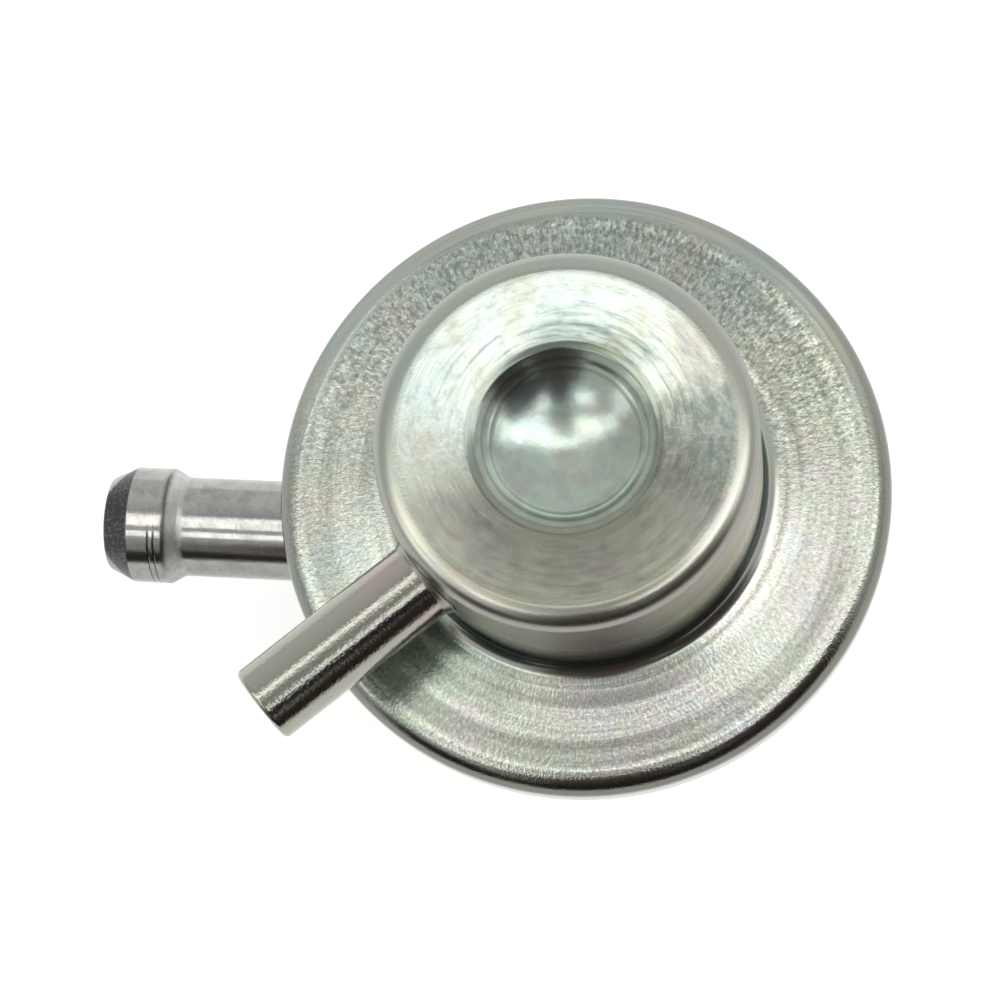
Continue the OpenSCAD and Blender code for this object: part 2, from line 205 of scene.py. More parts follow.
def turned_mesh(name, section, hole=None, pole=False):
    """A turned piece about Z from its section.

    hole is (azimuth, height, radius) of a radial hole. A section with pole starts and ends on Z.
    """
    verts, normals, rows = turned_rows(section)
    inside = [hole is not None and in_hole(v, *hole) for v in verts]
    pairs = list(zip(rows, rows[1:]))
    if not pole:
        pairs.append((rows[-1], rows[0]))
    faces = []
    for a, b in pairs:
        if (Vector(verts[a[0]]) - Vector(verts[b[0]])).length < TINY:
            continue
        for k in range(ROUND):
            m = (k + 1) % ROUND
            face = list(dict.fromkeys((a[k], a[m], b[m], b[k])))
            if len(face) < 3 or all(inside[i] for i in face):
                continue
            one, two, three = (Vector(verts[i]) for i in face[:3])
            outward = Vector(normals[face[0]]) + Vector(normals[face[2]])
            facing = (two - one).cross(three - two).dot(outward)
            faces.append(face if facing > 0 else face[::-1])
    verts = [moved_to_hole_edge(v, *hole) if cut else v for v, cut in zip(verts, inside)]
    mesh = bpy.data.meshes.new(name)
    mesh.from_pydata([[x * MM for x in v] for v in verts], [], faces)
    mesh.shade_smooth()
    mesh.normals_split_custom_set_from_vertices(normals)
    obj = bpy.data.objects.new(name, mesh)
    bpy.context.scene.collection.objects.link(obj)
    return obj


def along(azimuth, height):
    """Places a piece's own +Z along a radius of the regulator."""
    return (
        Matrix.Translation((0, 0, height * MM))
        @ Matrix.Rotation(azimuth, 4, "Z")
        @ Matrix.Rotation(math.pi / 2, 4, "Y")
    )


def flange_top(r):
    return FLANGE_Z + FLANGE_FALL * (RIM_R - r) / (RIM_R - CUP_R)


def pipe_section(start, end):
    cone = end - BEAD_CONE
    land = end - BEAD_CONE - BEAD_LAND
    return solid_section([
        (PIPE_BORE_R, start),
        (PIPE_R, start),
        (PIPE_R, land - BEAD_SLOPE, PIPE_BEND),
        (BEAD_R, land, BEAD_BACK_BEND),
        (BEAD_R, cone, BEAD_FRONT_BEND),
        (TIP_R, end, TIP_EDGE),
        (PIPE_BORE_R, end),
    ])


# The dimple is a round bowl that runs into a round lip, and the two slope alike where they meet
bowl_and_lip = (DIMPLE_R**2 + DIMPLE_DEPTH**2) / (2 * DIMPLE_DEPTH)
bowl_r = bowl_and_lip - DIMPLE_LIP
half_slope = math.asin(DIMPLE_R / bowl_and_lip) / 2
dimple_z = TOP_Z - TOP_SINK - DIMPLE_DEPTH
cover = turned_mesh(
    "cover_skin",
    sheet_section(
        [
            (0, dimple_z),
            (bowl_r * math.tan(half_slope), dimple_z, bowl_r * BEND_SHARE),
            (DIMPLE_R - DIMPLE_LIP * math.tan(half_slope), TOP_Z - TOP_SINK, DIMPLE_LIP * BEND_SHARE),
            (CUP_R, TOP_Z, CUP_EDGE),
            (CUP_R, flange_top(CUP_R) + STEP_H, CUP_FOOT),
            (STEP_R, flange_top(STEP_R) + STEP_H, STEP_BEND),
            (STEP_R + STEP_W, flange_top(STEP_R + STEP_W), STEP_BEND),
            (RIM_R, FLANGE_Z, RIM_BEND),
            (RIM_R, LIP_Z, RIM_BEND),
            (RIM_R - LIP_W, LIP_Z),
        ],
        -COVER_T,
    ),
    hole=(NIPPLE_AZ, NIPPLE_Z, NIPPLE_ROOT_R + BRAZE_GAP),
    pole=True,
)
housing = turned_mesh(
    "housing_skin",
    sheet_section(
        [
            (PIPE_R + BRAZE_GAP, NECK_Z),
            (NECK_R, NECK_Z, HOUSING_BEND),
            (NECK_R, PAN_Z, HOUSING_FILLET),
            (PAN_R, PAN_Z, HOUSING_BEND),
            (PAN_R, PAN_FLANGE_Z, HOUSING_FILLET),
            (CLAMPED_R, PAN_FLANGE_Z),
        ],
        HOUSING_T,
    ),
    hole=(math.pi, INLET_Z, PIPE_R + BRAZE_GAP),
)
inlet = turned_mesh("inlet_spigot", pipe_section(INLET_START, INLET_REACH))
inlet.matrix_world = along(math.pi, INLET_Z)
outlet = turned_mesh("return_spigot", pipe_section(-RETURN_TOP_Z, -RETURN_END_Z))
outlet.matrix_world = Matrix.Rotation(math.pi, 4, "X")
nipple = turned_mesh(
    "nipple_tube",
    solid_section([
        (NIPPLE_BORE_R, NIPPLE_START),
        (NIPPLE_ROOT_R, NIPPLE_START),
        (NIPPLE_ROOT_R, NIPPLE_SHOULDER),
        (NIPPLE_R, NIPPLE_SHOULDER),
        (NIPPLE_R, NIPPLE_REACH, NIPPLE_EDGE),
        (NIPPLE_BORE_R, NIPPLE_REACH, NIPPLE_BORE_EDGE),
    ]),
)
nipple.matrix_world = along(NIPPLE_AZ, NIPPLE_Z)


def rgb(r, g, b):
    return (r, g, b, 1.0)


class Tree:
    """Short calls for the nodes of one material or of the world.

    Several of them read a dict of fields, which holds values over the surface by name.
    """

    def __init__(self, tree):
        self.tree = tree
        tree.nodes.clear()

    def node(self, kind, inputs=None, **settings):
        made = self.tree.nodes.new(kind)
        for name, value in settings.items():
            setattr(made, name, value)
        for socket, value in (inputs or {}).items():
            if isinstance(value, bpy.types.NodeSocket):
                self.tree.links.new(value, made.inputs[socket])
            else:
                made.inputs[socket].default_value = value
        return made

    def math(self, operation, a, b=0.0):
        return self.node("ShaderNodeMath", {0: a, 1: b}, operation=operation).outputs[0]

    def minus(self, a, b):
        return self.math("SUBTRACT", a, b)

    def add(self, *values):
        total = values[0]
        for v in values[1:]:
            total = self.math("ADD", total, v)
        return total

    def times(self, *values):
        total = values[0]
        for v in values[1:]:
            total = self.math("MULTIPLY", total, v)
        return total

    def smooth(self, value, start, end):
        """0 at start, 1 at end, and smooth between them."""
        inputs = {0: value, 1: start, 2: end, 3: 0.0, 4: 1.0}
        return self.node("ShaderNodeMapRange", inputs, interpolation_type="SMOOTHSTEP").outputs[0]

    def band(self, value, low, high, soft):
        """1 from low to high, and 0 outside."""
        rise = self.smooth(value, low - soft, low + soft)
        fall = self.smooth(value, high + soft, high - soft)
        return self.times(rise, fall)

    def ridge(self, value, place, width):
        """A smooth bump of height 1 at a place."""
        off = self.math("DIVIDE", self.minus(value, place), width)
        return self.math("EXPONENT", self.times(off, off, -1.0))

    def vector(self, x, y, z):
        return self.node("ShaderNodeCombineXYZ", {0: x, 1: y, 2: z}).outputs[0]

    def noise(self, vector, scale, detail, rough):
        inputs = {"Vector": vector, "Scale": scale, "Detail": detail, "Roughness": rough}
        return self.node("ShaderNodeTexNoise", inputs).outputs[0]

    def turned_noise(self, fields, name, per_mm, around, detail, rough):
        """Noise along one field and around the axis, as a tool leaves it on a turned piece."""
        place = self.vector(
            self.times(fields[name], per_mm),
            self.times(fields["c"], around),
            self.times(fields["s"], around),
        )
        return self.noise(place, 1.0, detail, rough)

    def polar(self):
        """The first fields: x, y, z and their point in mm, radius r, the azimuth's cosine c and sine s."""
        coords = self.node("ShaderNodeTexCoord").outputs["Object"]
        to_mm = {0: coords, "Scale": 1 / MM}
        point = self.node("ShaderNodeVectorMath", to_mm, operation="SCALE").outputs[0]
        x, y, z = self.node("ShaderNodeSeparateXYZ", {0: point}).outputs
        r = self.math("SQRT", self.add(self.times(x, x), self.times(y, y)))
        safe_r = self.math("MAXIMUM", r, LEAST_R)
        c = self.math("DIVIDE", x, safe_r)
        s = self.math("DIVIDE", y, safe_r)
        return {"x": x, "y": y, "z": z, "point": self.vector(x, y, z), "r": r, "c": c, "s": s}

    def zone(self, fields, *parts):
        """The product of its parts.

        A part is a number, the name of a field, "not" and the name, a fade (name, 0 here, 1 here)
        or a band (name, from, to, soft).
        """
        factors = []
        for part in parts:
            if isinstance(part, tuple):
                name, *limits = part
                fade = self.smooth if len(limits) == 2 else self.band
                factors.append(fade(fields[name], *limits))
            elif not isinstance(part, str):
                factors.append(part)
            elif part.startswith("not "):
                factors.append(self.minus(1.0, fields[part.removeprefix("not ")]))
            else:
                factors.append(fields[part])
        return self.times(*factors)

    def sum_of(self, fields, rows):
        """The sum of the zones in a table."""
        return self.add(*[self.zone(fields, *row) for row in rows])

    def mix(self, factor, a, b):
        return self.node("ShaderNodeMix", {0: factor, 6: a, 7: b}, data_type="RGBA").outputs[2]

    def shade(self, colour, factor, by):
        """Multiplies a colour by another one where factor is 1."""
        inputs = {0: factor, 6: colour, 7: by}
        made = self.node("ShaderNodeMix", inputs, data_type="RGBA", blend_type="MULTIPLY")
        return made.outputs[2]

    def shades(self, colour, fields, rows):
        """Shades a colour by each row of a table in turn: the multiplier, then the parts of its zone."""
        for by, *parts in rows:
            colour = self.shade(colour, self.zone(fields, *parts), rgb(*by))
        return colour

    def ramp(self, factor, stops):
        """A colour ramp from (place, colour) stops."""
        made = self.node("ShaderNodeValToRGB", {0: factor})
        marks = made.color_ramp.elements
        while len(marks) < len(stops):
            marks.new(1.0)
        for mark, (place, colour) in zip(marks, stops):
            mark.position = place
            mark.color = rgb(*colour)
        return made.outputs[0]

    def surface(self, colour, roughness, height, metallic=1.0):
        """Ends a material; height is its relief in mm."""
        bump = self.node("ShaderNodeBump", {"Height": height, "Distance": MM, "Strength": 1.0})
        inputs = {
            "Base Color": colour,
            "Metallic": metallic,
            "Roughness": roughness,
            "Normal": bump.outputs[0],
        }
        shader = self.node("ShaderNodeBsdfPrincipled", inputs)
        self.node("ShaderNodeOutputMaterial", {"Surface": shader.outputs[0]})


def material(name):
    made = bpy.data.materials.new(name)
    made.use_nodes = True
    return made, Tree(made.node_tree)


def paint(obj, made):
    obj.data.materials.clear()
    obj.data.materials.append(made)


# Directions across the plate, as weights of the azimuth's cosine and sine
PLATE_WAYS = (
    ("far_right_way", 1.0, 1.0),
    ("nipple_way", -0.69, -0.72),
    ("right_way", 0.848, 0.53),
    ("near_left_way", -0.5, -0.866),
    ("near_right_way", 0.866, -0.5),
)
# Faces of the plated cover and places on them, by radius r and height z in mm and by the azimuth's
# cosine c and sine s; later zones use earlier ones
PLATE_ZONES = (
    ("high", ("z", 52.0, 56.0)),
    ("low", "not high", ("z", 43.6, 44.8)),
    ("under", ("z", 43.6, 42.6)),
    ("far_half", ("s", -0.1, 0.5)),
    ("near_half", ("s", -0.1, -0.7)),
    ("far_side", ("s", 0.3, 0.85), ("c", -0.5, 0.1)),
    ("bowl", "high", ("r", 6.9, 6.0)),
    ("lip", "high", ("r", 6.1, 6.8, 0.25)),
    ("lip_rings", "ripple", ("r", 4.9, 6.5, 0.3)),
    ("on_top", "high", ("r", 12.0, 11.2), ("r", 6.2, 6.9)),
    ("inner_top", "on_top", ("r", 10.2, 8.0), ("s", -0.3, 0.4)),
    ("right_side", "on_top", ("c", 0.84, 0.97)),
    ("dimple_side", "on_top", ("r", 8.8, 7.4), ("s", 0.6, 0.85), ("c", -0.55, -0.2)),
    ("smoothed", "near_half", 0.7),
    ("brushed", "on_top", "not smoothed"),
    ("cup_edge", "high", ("r", 11.0, 11.6)),
    ("edge_front", "high", ("r", 11.35, 11.95, 0.2), ("s", -0.55, -0.8)),
    ("edge_highlight", "high", ("r", 12.0, 12.5, 0.15), "near_half", ("aside", 0.2, 0.45)),
    ("edge_turn", "high", ("r", 12.4, 12.9)),
    ("wall", ("r", 12.95, 13.25, 0.05), ("z", 48.0, 60.0, 0.5)),
    ("foot", ("r", 13.6, 13.3), ("r", 12.9, 13.05), ("z", 45.8, 48.4, 0.6)),
    ("foot_glint", ("r", 13.9, 15.4, 0.3), "low", ("near_right_way", 0.9, 0.98)),
    ("flange", "low", ("r", 13.8, 14.4), ("r", 21.8, 21.2)),
    ("far_edge", "far_half", ("r", 20.1, 20.6)),
    ("deck", "flange", "not far_edge"),
    ("crest", ("r", 19.4, 20.1, 0.25), "flange", ("far_right_way", 0.3, 0.9)),
    # a ring on the flange's near half, for painted shade
    ("near_ring_shade", "low", ("r", 18.6, 20.3, 0.3), ("s", 0.1, -0.4)),
    ("by_nipple", "flange", ("nipple_way", 0.94, 0.99)),
    ("right_far", "flange", ("right_way", 0.92, 0.985)),
    ("front_left", "flange", ("near_left_way", 0.93, 0.985)),
    ("rim_edge", "low", ("r", 20.6, 22.2, 0.2)),
    ("rim_side", "low", ("r", 21.2, 21.9)),
    ("rim_front", "low", ("r", 22.0, 22.2), ("s", 0.0, -0.6)),
)
# Drawing marks, by the field they run across, how often they change along it and around, detail, roughness
PLATE_MARKS = (
    ("marks", "r", 3.0, 2.0, 3.0, 0.6),
    ("fine_marks", "r", 9.0, 5.0, 2.0, 0.6),
    ("mottle", "r", 1.3, 7.0, 5.0, 0.68),
    ("streaks", "r", 2.0, 62.0, 2.0, 0.6),
    ("fine_streaks", "r", 4.0, 125.0, 1.0, 0.5),
    ("rings", "r", 1.7, 0.8, 2.0, 0.6),
    ("drawn", "z", 0.9, 1.0, 3.0, 0.6),
)
# Even noises, by scale, detail and roughness
PLATE_NOISES = (
    ("cloud", 0.5, 5.0, 0.62),
    ("peel", 3.5, 2.0, 0.55),
    ("grain", 7.0, 2.0, 0.5),
    ("patches", 0.22, 4.0, 0.62),
)
# Low rings of the flange, by radius and width in mm
PLATE_RIDGES = (
    ("foot_ridge", 15.0, 0.35),
    ("tool_hollow", 19.2, 0.45),
)
# Fine rings in the bowl's lip: radians a mm
LIP_RING_TURN = 11.4
# Share of the wall's drawing marks that the underside has
UNDER_MARKS = 0.4
# Relief with its depth in mm, of the flange and of the whole plate
FLANGE_RELIEF = (
    ("foot_ridge", 0.03),
    ("tool_hollow", -0.018),
    ("rings", 0.02),
    ("streaks", "deck", 0.012),
    ("fine_streaks", "deck", 0.006),
    ("peel", 0.006),
)
PLATE_RELIEF = (
    ("marks", "brushed", 0.003),
    ("fine_marks", "brushed", 0.0012),
    ("mottle", "brushed", 0.004),
    ("lip_rings", "bowl", 0.008),
    ("cloud", "bowl", 0.02),
    ("grain", "rim_edge", 0.018),
    ("grain", "cup_edge", 0.006),
    ("drawn", "drawn_faces", 0.05),
    ("flange", "flange_relief"),
)
# Faint colours of the clear zinc layer, by its tint, which drifts with the azimuth and in patches
TINT_MIDDLE = 0.5
TINT_TURN = (("s", -0.17), ("c", 0.11))
TINT_PATCHES = 1.8
PLATE_TINTS = (
    (0.08, (0.405, 0.46, 0.443)),
    (0.36, (0.435, 0.465, 0.427)),
    (0.58, (0.452, 0.464, 0.402)),
    (0.74, (0.468, 0.447, 0.427)),
    (0.95, (0.437, 0.454, 0.448)),
)
# Multipliers of the colour and where they hold; the rows marked below paint light and shade into the colour
PLATE_SHADES = (
    ((0.92, 1.02, 1.0), "bowl"),
    ((0.9, 0.84, 0.88), ("cloud", 0.42, 0.62), "bowl"),
    # painted highlight: the bowl's middle lighter towards the near side
    ((1.3, 1.3, 1.27), "bowl", ("r", 2.3, 0.9), ("y", 0.8, -0.4)),
    # painted highlights: pale arcs in the near half of the bowl
    ((1.2, 1.27, 1.24), ("r", 4.9, 5.5, 0.25), "bowl", ("s", -0.1, -0.5)),
    # painted shade in the crease of the dimple's lip
    ((0.66, 0.67, 0.64), "lip"),
    # drawing marks near the dimple, darkened on the far side by painted shade
    ((0.66, 0.69, 0.67), ("marks", 0.52, 0.68), "inner_top"),
    ((0.7, 0.73, 0.71), ("marks", 0.4, 0.56), "inner_top", "far_side"),
    ((0.82, 0.84, 0.82), ("mottle", 0.46, 0.68), "brushed"),
    ((0.86, 0.9, 0.9), ("cloud", 0.46, 0.66), "on_top", "near_half"),
    ((0.88, 0.89, 0.86), ("patches", 0.5, 0.66), "on_top"),
    # painted shade: the right side of the top darker, in mottled streaks
    ((0.56, 0.59, 0.58), ("mottle", 0.25, 0.6), "right_side"),
    ((0.84, 0.845, 0.84), ("streaks", 0.54, 0.36), "deck"),
    ((0.85, 0.86, 0.85), ("fine_streaks", 0.52, 0.34), "deck"),
    # painted glints on the flange's fine streaks
    ((1.25, 1.25, 1.23), ("fine_streaks", 0.56, 0.68), "deck"),
    # stronger streaks on the far half of the flange: grain darkened, and painted glints on the light
    # streaks
    ((0.74, 0.76, 0.76), ("streaks", 0.5, 0.38), "deck", "far_half"),
    ((1.34, 1.33, 1.3), ("streaks", 0.54, 0.66), "deck", "far_half"),
    # painted highlight: a bright ring inside the far part of the rim
    ((1.22, 1.22, 1.22), "crest", ("streaks", 0.36, 0.5)),
    # painted reflection: a darker teal tinge on the flange beside the nipple
    ((0.86, 0.95, 0.92), "by_nipple"),
    # painted shade on the near left of the flange, by the nipple's root
    ((0.66, 0.71, 0.69), "front_left", ("r", 18.4, 16.4)),
    # painted light: the flange lighter towards the far right
    ((1.15, 1.14, 1.1), "right_far"),
    ((1.3, 1.3, 1.28), "foot_glint"),
    # painted shade beside the dimple, on the far side of the top
    ((0.68, 0.7, 0.69), "dimple_side"),
    ((0.99, 0.99, 0.93), "on_top", "near_half"),
    ((0.84, 0.85, 0.84), ("rings", 0.5, 0.66), "flange"),
    # painted shade: a darker ring on the near half of the flange
    ((0.72, 0.72, 0.71), "near_ring_shade"),
    # painted shade: the flange darker towards the right
    ((0.86, 0.86, 0.84), "flange", ("c", 0.75, 0.96)),
    # painted light: the flange lighter on the far left
    ((1.22, 1.2, 1.2), "flange", ("c", -0.5, -0.85), ("s", 0.0, 0.3)),
    ((0.76, 0.78, 0.76), ("lip_rings", 0.3, 0.9), "bowl"),
    # painted shade on the cup's rounded edge
    ((0.9, 0.9, 0.89), "cup_edge"),
    # painted shade on the near part of the cup's edge
    ((0.66, 0.64, 0.6), "edge_front"),
    # painted highlight: a bright line along the near part of the cup's edge
    ((1.45, 1.42, 1.36), "edge_highlight"),
    # painted shade where the cup's edge turns down into the wall
    ((0.74, 0.73, 0.72), "edge_turn"),
    ((0.97, 0.94, 0.87), "wall"),
    # painted light: the right side of the wall lighter
    ((1.25, 1.25, 1.23), "wall", ("c", 0.2, 0.7)),
    # painted shade on the rim's rounded side
    ((0.44, 0.44, 0.43), "rim_side"),
    # painted shade on the near part of the rim's outer edge
    ((0.68, 0.68, 0.66), "rim_front"),
    # painted shade in the corner at the cup's foot, tinted blue-grey
    ((0.38, 0.46, 0.52), "foot"),
    ((0.86, 0.86, 0.85), "under", ("drawn", 0.4, 0.65)),
)
# Roughness of the bare plate, and what each face and mark adds to it
PLATE_ROUGHNESS = (
    (0.2,),
    ("flange", 0.04),
    ("on_top", -0.08),
    ("bowl", 0.03),
    ("cup_edge", 0.08),
    ("wall", 0.06),
    ("rim_edge", -0.05),
    ("marks_swing", 0.08),
    ("mottle_swing", "on_top", 0.12),
)


def plate_fields(t):
    """Coordinates, zones and marks of the plated cover by name."""
    fields = t.polar()
    fields["aside"] = t.math("ABSOLUTE", fields["c"])
    fields["ripple"] = t.math("SINE", t.times(fields["r"], LIP_RING_TURN))
    for name, by_cosine, by_sine in PLATE_WAYS:
        fields[name] = t.sum_of(fields, (("c", by_cosine), ("s", by_sine)))
    for name, *parts in PLATE_ZONES:
        fields[name] = t.zone(fields, *parts)
    for name, *marks in PLATE_MARKS:
        fields[name] = t.turned_noise(fields, *marks)
    for name, *noise in PLATE_NOISES:
        fields[name] = t.noise(fields["point"], *noise)
    for name, radius, width in PLATE_RIDGES:
        fields[name] = t.ridge(fields["r"], radius, width)
    for name in ("marks", "mottle", "patches"):
        fields[name + "_swing"] = t.minus(fields[name], 0.5)
    fields["drawn_faces"] = t.sum_of(fields, (("wall",), ("under", UNDER_MARKS)))
    fields["flange_relief"] = t.sum_of(fields, FLANGE_RELIEF)
    return fields


def zinc_plate(name, tone=1.0):
    """Clear zinc on drawn steel, with marks where the cover has its faces and painted light and shade on
    them; tone darkens it.
    """
    made, t = material(name)
    fields = plate_fields(t)
    drift = t.sum_of(fields, TINT_TURN)
    tint = t.add(TINT_MIDDLE, drift, t.times(fields["patches_swing"], TINT_PATCHES))
    colour = t.shades(t.ramp(tint, PLATE_TINTS), fields, PLATE_SHADES)
    colour = t.shade(colour, 1.0, rgb(tone, tone, tone))
    t.surface(colour, t.sum_of(fields, PLATE_ROUGHNESS), t.sum_of(fields, PLATE_RELIEF))
    return made


# Turning marks of a hose spigot, in the columns of PLATE_MARKS
SPIGOT_MARKS = (
    ("lines", "z", 0.5, 26.0, 2.0, 0.6),
    ("rings", "z", 9.0, 1.2, 2.0, 0.6),
    ("scratches", "z", 3.0, 9.0, 4.0, 0.7),
)
SPIGOT_NOISES = (
    ("smudge", 0.7, 3.0, 0.6),
    ("speck", 5.0, 2.0, 0.6),
)
# Places on a spigot in mm back from its end, and widths of the lines there
GROOVE_PLACES = (3.9, 4.35)
GROOVE_WIDTH = 0.07
STOP_PLACE = 5.05
STOP_WIDTH = 0.2
CONE_SOFT = 0.06
# The side of the cone that is dark, by azimuth, place and specks: a dark rough finish, kept to one side as
# a painted reflection
DARK_SIDE = (("c", -0.97), ("s", 0.2))
DARK_EDGE = (("dark_side",), ("back", 0.34), ("speck", 0.3))
SPIGOT_ZONES = (
    ("cone", ("back", BEAD_CONE + CONE_SOFT, BEAD_CONE - CONE_SOFT), ("r", 3.2, 3.4)),
    ("neck", ("back", 5.0, 6.4, 0.3)),
    ("grooves", "both_grooves", ("s", 0.1, 0.6)),
    ("stop", "stop_line", ("c", -0.3, -0.8)),
    ("dark_cone", "cone", ("dark_edge", 0.92, 1.0)),
)
SPIGOT_RELIEF = (
    ("lines", 0.004),
    ("rings", 0.003),
    ("grooves", -0.03),
    ("speck", "cone", 0.03),
)
SPIGOT_SHADES = (
    ((0.8, 0.79, 0.78), ("scratches", 0.5, 0.72)),
    # groove lines, dark on the -Y side only as painted shade
    ((0.3, 0.29, 0.28), "groove_lines"),
    # painted highlight: the neck lighter where the flange hides the lamps from it
    ((1.45, 1.45, 1.43), "neck"),
    ((0.3, 0.29, 0.28), "stop"),
    # painted shade: the spigot's -Y side darker
    ((0.78, 0.77, 0.76), ("s", 0.75, 0.9)),
)
SPIGOT_ROUGHNESS = (
    (0.07,),
    ("smudge", 0.14),
    ("cone", 0.22),
    ("neck", 0.34),
)
CLEAN_STEEL = rgb(0.40, 0.395, 0.39)
SMUDGED_STEEL = rgb(0.335, 0.33, 0.325)
CHARCOAL = rgb(0.06, 0.06, 0.064)
PALE_CHARCOAL = rgb(0.16, 0.16, 0.16)


def spigot_steel(name, end):
    """Bare turned steel for a hose spigot that ends at a height on its own axis, with a dark end cone and
    painted light and shade.
    """
    made, t = material(name)
    fields = t.polar()
    fields["back"] = t.minus(end, fields["z"])
    for mark, *columns in SPIGOT_MARKS:
        fields[mark] = t.turned_noise(fields, *columns)
    for noise, *columns in SPIGOT_NOISES:
        fields[noise] = t.noise(fields["point"], *columns)
    grooves = [t.ridge(fields["back"], place, GROOVE_WIDTH) for place in GROOVE_PLACES]
    fields["both_grooves"] = t.add(*grooves)
    fields["stop_line"] = t.ridge(fields["back"], STOP_PLACE, STOP_WIDTH)
    fields["dark_side"] = t.sum_of(fields, DARK_SIDE)
    fields["dark_edge"] = t.sum_of(fields, DARK_EDGE)
    for zone, *parts in SPIGOT_ZONES:
        fields[zone] = t.zone(fields, *parts)
    fields["groove_lines"] = t.math("MINIMUM", fields["grooves"], 1.0)
    steel = t.mix(t.smooth(fields["smudge"], 0.4, 0.65), CLEAN_STEEL, SMUDGED_STEEL)
    steel = t.shades(steel, fields, SPIGOT_SHADES)
    # the cone's dark rough finish, kept to one side as a painted reflection
    dark_finish = t.mix(t.smooth(fields["speck"], 0.45, 0.75), CHARCOAL, PALE_CHARCOAL)
    colour = t.mix(fields["dark_cone"], steel, dark_finish)
    t.surface(colour, t.sum_of(fields, SPIGOT_ROUGHNESS), t.sum_of(fields, SPIGOT_RELIEF))
    return made


# The nipple's tube, whose own z is the distance from the regulator's axis in mm
TUBE_MARKS = (
    ("marks", "z", 8.0, 3.0, 2.0, 0.6),
    ("sparkle", "z", 5.0, 14.0, 2.0, 0.6),
)
TUBE_RELIEF = (("marks", 0.008), ("sparkle", 0.018))
TUBE_ROUGHNESS = ((0.08,), ("marks", 0.05))
TUBE_WARM = (0.35, 2.0, 0.5)
TUBE_STRETCH = 0.5
TUBE_PINK_ZONE = (("z", 19.0, 15.0), ("warm", 0.35, 0.6))
TUBE_METAL = rgb(0.35, 0.348, 0.302)
TUBE_PINK = rgb(0.39, 0.34, 0.325)


def drawn_tube(name):
    """A bright drawn tube with a pink tinge near the cup."""
    made, t = material(name)
    fields = t.polar()
    for mark, *columns in TUBE_MARKS:
        fields[mark] = t.turned_noise(fields, *columns)
    long_point = t.vector(fields["x"], fields["y"], t.times(fields["z"], TUBE_STRETCH))
    fields["warm"] = t.noise(long_point, *TUBE_WARM)
    colour = t.mix(t.zone(fields, *TUBE_PINK_ZONE), TUBE_METAL, TUBE_PINK)
    t.surface(colour, t.sum_of(fields, TUBE_ROUGHNESS), t.sum_of(fields, TUBE_RELIEF))
    return made


# How much darker the patches on the hidden metal are
PATCH_SHADE = 0.85


def plain_metal(name, colour, roughness):
    """A metal of the hidden pieces, with faint turning marks and darker patches."""
    made, t = material(name)
    fields = t.polar()
    place = t.vector(t.times(fields["r"], 6.0), t.times(fields["z"], 6.0), fields["c"])
    marks = t.noise(place, 1.0, 2.0, 0.6)
    patches = t.noise(fields["point"], 2.0, 2.0, 0.5)
    darker = rgb(*[v * PATCH_SHADE for v in colour[:3]])
    t.surface(t.mix(patches, darker, colour), t.add(roughness, t.times(marks, 0.1)), t.times(marks, 0.008))
    return made


def rubber(name):
    made, t = material(name)
    weave = t.noise(t.polar()["point"], 5.0, 2.0, 0.6)
    colour = t.mix(weave, rgb(0.03, 0.03, 0.033), rgb(0.06, 0.06, 0.063))
    t.surface(colour, t.add(0.5, t.times(weave, 0.15)), t.times(weave, 0.02), metallic=0.0)
    return made


zinc = zinc_plate("zinc_plate")
# a darker copy of the plate for the lower housing and the spigots' brazes
darker_zinc = zinc_plate("darker_zinc_plate", 0.8)
inlet_steel = spigot_steel("inlet_steel", INLET_REACH)
return_steel = spigot_steel("return_steel", -RETURN_END_Z)
tube = drawn_tube("drawn_tube")
pressed = plain_metal("pressed_steel", rgb(0.55, 0.55, 0.57), 0.3)
wire = plain_metal("spring_wire", rgb(0.40, 0.41, 0.43), 0.35)
yellow = plain_metal("turned_brass", rgb(0.78, 0.62, 0.30), 0.25)
membrane = rubber("membrane_rubber")

for piece, node, finish, slot_name in (
    (cover, "upper_cover", zinc, "zinc_steel"),
    (housing, "lower_housing", darker_zinc, "zinc_steel"),
    (inlet, "inlet_pipe", inlet_steel, "turned_steel"),
    (outlet, "return_pipe", return_steel, "turned_steel"),
    (nipple, "vacuum_nipple", tube, "nickel_tube"),
):
    paint(piece, finish)
    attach(piece, "casing")
    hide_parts(node)

for node, finish, slot_name in (
    ("nipple_braze", zinc, "zinc_steel"),
    ("inlet_braze", darker_zinc, "zinc_steel"),
    ("return_braze", darker_zinc, "zinc_steel"),
    ("spring_seat", pressed, "inner_steel"),
    ("spring_plate", pressed, "inner_steel"),
    ("rivet_washer", pressed, "inner_steel"),
    ("support_plate", pressed, "inner_steel"),
    ("valve_ball", pressed, "inner_steel"),
    ("ball_retainer", pressed, "inner_steel"),
    ("ball_spring", wire, "spring_steel"),
    ("valve_holder", yellow, "brass"),
    ("valve_seat", yellow, "brass"),
):
    paint(NODES[node], finish)

# The spring and the membrane, which give way when the valve lifts by 0.8 mm, get copies of their meshes
# with their own finishes
for node, finish, slot_name, anchor_z, keep in (
    ("main_spring", wire, "spring_steel", 57.93, 0.9392),
    ("diaphragm", membrane, "membrane", 45.27, 0.583),
):
    soft = bpy.data.objects.new(node + "_soft", NODES[node].data.copy())
    bpy.context.scene.collection.objects.link(soft)
    paint(soft, finish)
    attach(soft, "casing")
    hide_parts(node)
    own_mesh(soft)

